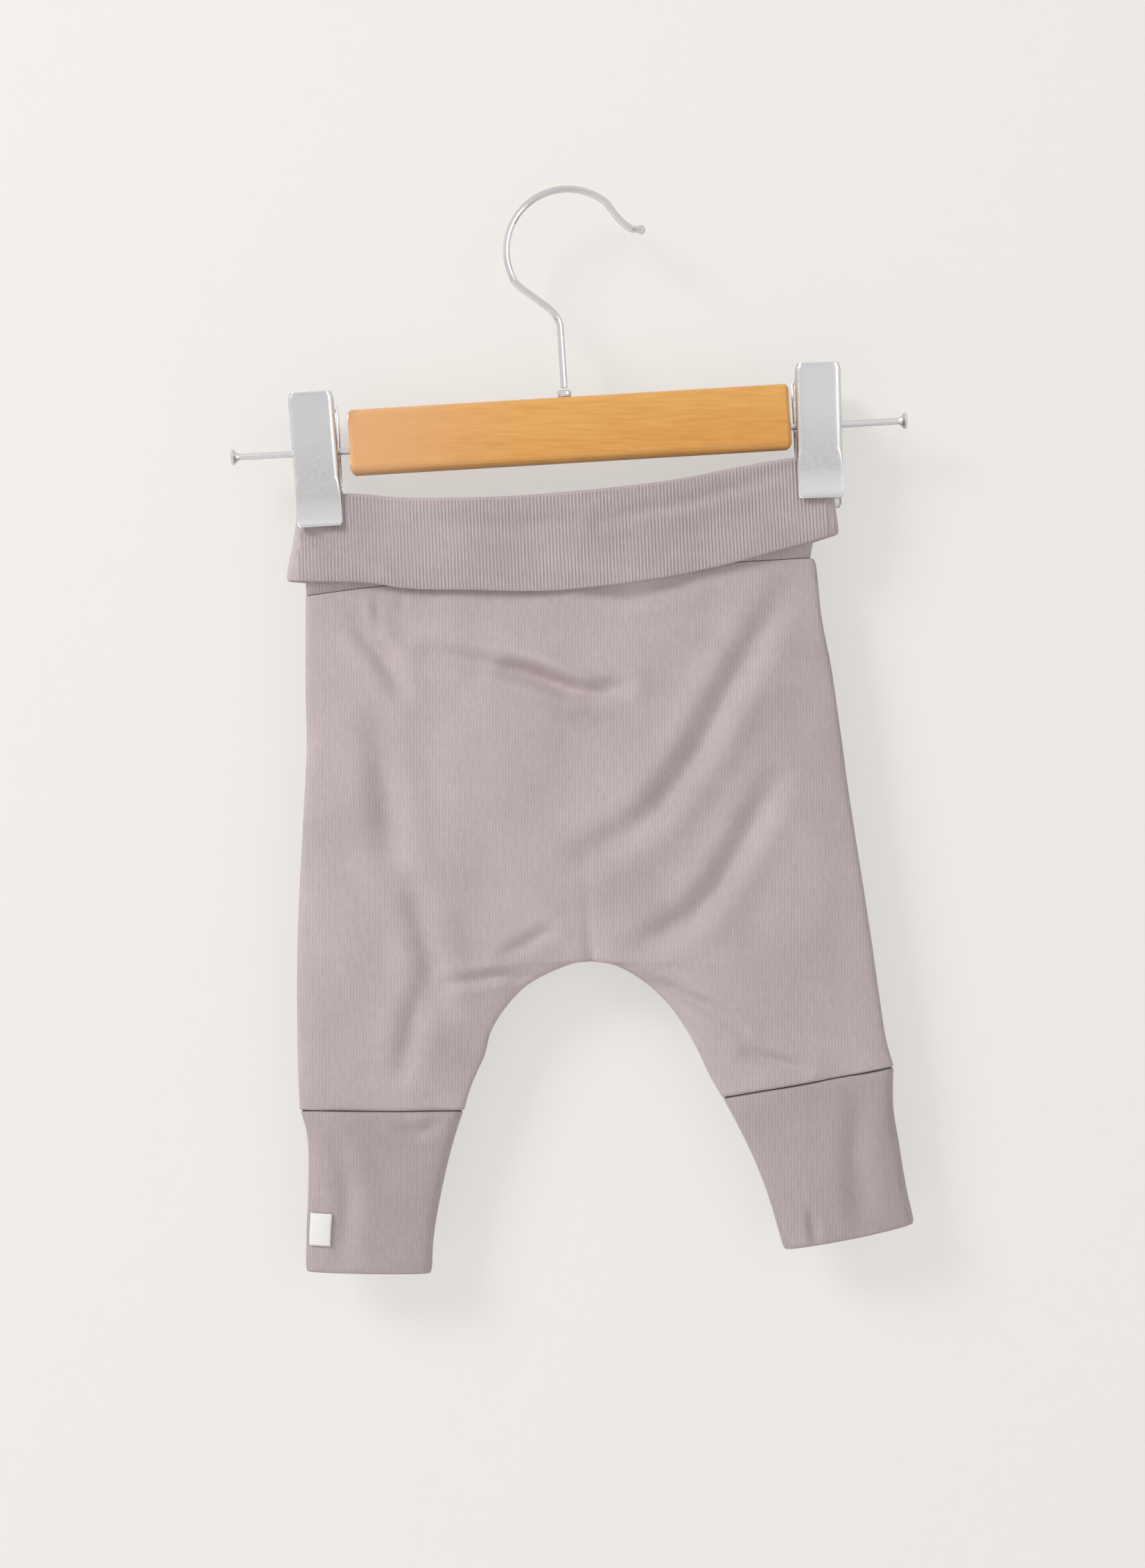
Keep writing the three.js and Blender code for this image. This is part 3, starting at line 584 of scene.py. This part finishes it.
def painted_wall(name, code, one_sided):
    """Matt pale wall; seen from behind it lets the view through."""
    made, tree, shader, _ = material(name)
    shader.inputs["Base Color"].default_value = srgb(code)
    shader.inputs["Roughness"].default_value = 0.95
    if one_sided:
        out = next(n for n in tree.nodes if n.type == "OUTPUT_MATERIAL")
        facing = add(tree, "ShaderNodeNewGeometry").outputs["Backfacing"]
        clear = add(tree, "ShaderNodeBsdfTransparent")
        glow = add(tree, "ShaderNodeEmission", {"Color": srgb("F3F0EC"), "Strength": 1.0})
        seen = add(tree, "ShaderNodeLightPath").outputs["Is Camera Ray"]
        share = add(tree, "ShaderNodeMath", {0: seen, 1: 0.6}, operation="MULTIPLY")
        lit = add(tree, "ShaderNodeMixShader", {0: share.outputs[0], 1: shader.outputs[0],
                                                2: glow.outputs[0]})
        both = add(tree, "ShaderNodeMixShader", {0: facing, 1: lit.outputs[0], 2: clear.outputs[0]})
        tree.links.new(both.outputs[0], out.inputs["Surface"])
    return made


def dress(thing, look):
    thing.data.materials.clear()
    thing.data.materials.append(look)


# ---- the garment
jersey = cotton_jersey("cotton_jersey_taupe", "B3A5A7", "CBBDBF")
rib = cotton_jersey("cotton_rib_taupe", "B4A7A9", "CBBDBF")
cuff_knit = cotton_jersey("cotton_cuff_taupe", "A99C9F", "C0B2B5")
tape = woven_tape()

front = body_panel("front_panel", -1, FRONT_FOLDS, 11)
back = body_panel("back_panel", 1, BACK_FOLDS, 23)
band = waistband()
left_cuff = cuff_tube("left_cuff_tube", CUFF_LEFT, straight_full)
right_cuff = cuff_tube("right_cuff_tube", CUFF_RIGHT, open_full)
tag = label_tape()

# flat: the cut size in metres, all round on a tube; area: the cloth in that cut
for thing, node, slot_name, look, flat, area in (
        (front, "body_front", "jersey", jersey, (0.246, 0.230), 0.0455),
        (back, "body_back", "jersey", jersey, (0.246, 0.230), 0.0455),
        (band, "waistband", "rib", rib, (0.446, 0.074), 0.0325),
        (left_cuff, "cuff_left", "jersey", cuff_knit, (0.130, 0.067), 0.0078),
        (right_cuff, "cuff_right", "jersey", cuff_knit, (0.142, 0.067), 0.0082),
        (tag, "label", "woven_tape", tape, (0.0105, 0.0135), None)):
    dress(thing, look)
    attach(thing, "root")
    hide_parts(node)

# ---- the hanger keeps its own nodes
bright = chrome_plate("bright_chrome_plate", 0.06, 0.16, "D6D6D8")
satin = chrome_plate("satin_chrome_plate", 0.24, 0.32, "DCDCDE")
wood = varnished_beech()
for node_name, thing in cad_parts.items():
    if node_name in ("hook", "hook_collar"):
        dress(thing, bright)
    elif node_name == "bar":
        dress(thing, wood)
    elif node_name == "rod" or node_name.startswith("clip_"):
        dress(thing, satin)
for hand, (foot, head) in CLIPS.items():
    for face, side, drop in (("front", -1, 0), ("back", 1, 3)):
        leaf = clip_plate(f"{hand}_clip_{face}_plate", foot, head, side, drop)
        dress(leaf, satin)
        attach(leaf, "root")
        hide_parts(f"clip_{hand}_{face}")


# ---- wall, floor, lamps, camera
def panel(name, corners, look):
    mesh = bpy.data.meshes.new(name)
    mesh.from_pydata(corners, [], [[0, 1, 2, 3]])
    made = bpy.data.objects.new(name, mesh)
    bpy.context.scene.collection.objects.link(made)
    dress(made, look)
    return made


WALL_Y, FLOOR_Z = 0.020, -0.75
panel("wall", [(-3, WALL_Y, FLOOR_Z), (3, WALL_Y, FLOOR_Z), (3, WALL_Y, 2), (-3, WALL_Y, 2)],
      painted_wall("matt_wall_paint", "F0EDE9", True))
panel("floor", [(-3, -3, FLOOR_Z), (3, -3, FLOOR_Z), (3, 3, FLOOR_Z), (-3, 3, FLOOR_Z)],
      painted_wall("matt_floor_paint", "F0EEEC", False))


def lamp(name, place, size, power):
    data = bpy.data.lights.new(name, "AREA")
    data.shape, data.size, data.energy = "SQUARE", size, power
    made = bpy.data.objects.new(name, data)
    made.location = place
    made.rotation_euler = (Vector((0, 0, -0.25)) - Vector(place)).to_track_quat("-Z", "Y").to_euler()
    bpy.context.scene.collection.objects.link(made)


lamp("window_left", (-1.55, -1.2, 1.0), 0.8, 33)
lamp("fill_right", (1.5, -1.8, 0.2), 1.8, 8)
lamp("back_fill", (0.4, 1.8, 0.5), 1.2, 12)

world = bpy.data.worlds.new("room")
bpy.context.scene.world = world
world.use_nodes = True
sky = world.node_tree.nodes["Background"]
sky.inputs["Color"].default_value = srgb("F3F2F1")
rays = add(world.node_tree, "ShaderNodeLightPath")
seen = add(world.node_tree, "ShaderNodeMath", {0: rays.outputs["Is Camera Ray"],
                                               1: rays.outputs["Is Glossy Ray"]},
           operation="MAXIMUM")
level = add(world.node_tree, "ShaderNodeMapRange", {"Value": seen.outputs[0], "To Min": 0.4, "To Max": 0.95})
world.node_tree.links.new(level.outputs[0], sky.inputs["Strength"])

camera = bpy.data.objects.new("camera", bpy.data.cameras.new("camera"))
bpy.context.scene.collection.objects.link(camera)
CAMERA_AWAY, VIEW_HEIGHT = 0.85, 0.647
camera.location = (0, -CAMERA_AWAY, -0.2441)
camera.rotation_euler = (math.radians(90), 0, 0)
camera.data.sensor_fit = "VERTICAL"
camera.data.angle = 2 * math.atan(VIEW_HEIGHT / 2 / CAMERA_AWAY)
bpy.context.scene.camera = camera
bpy.context.scene.view_settings.view_transform = "Standard"
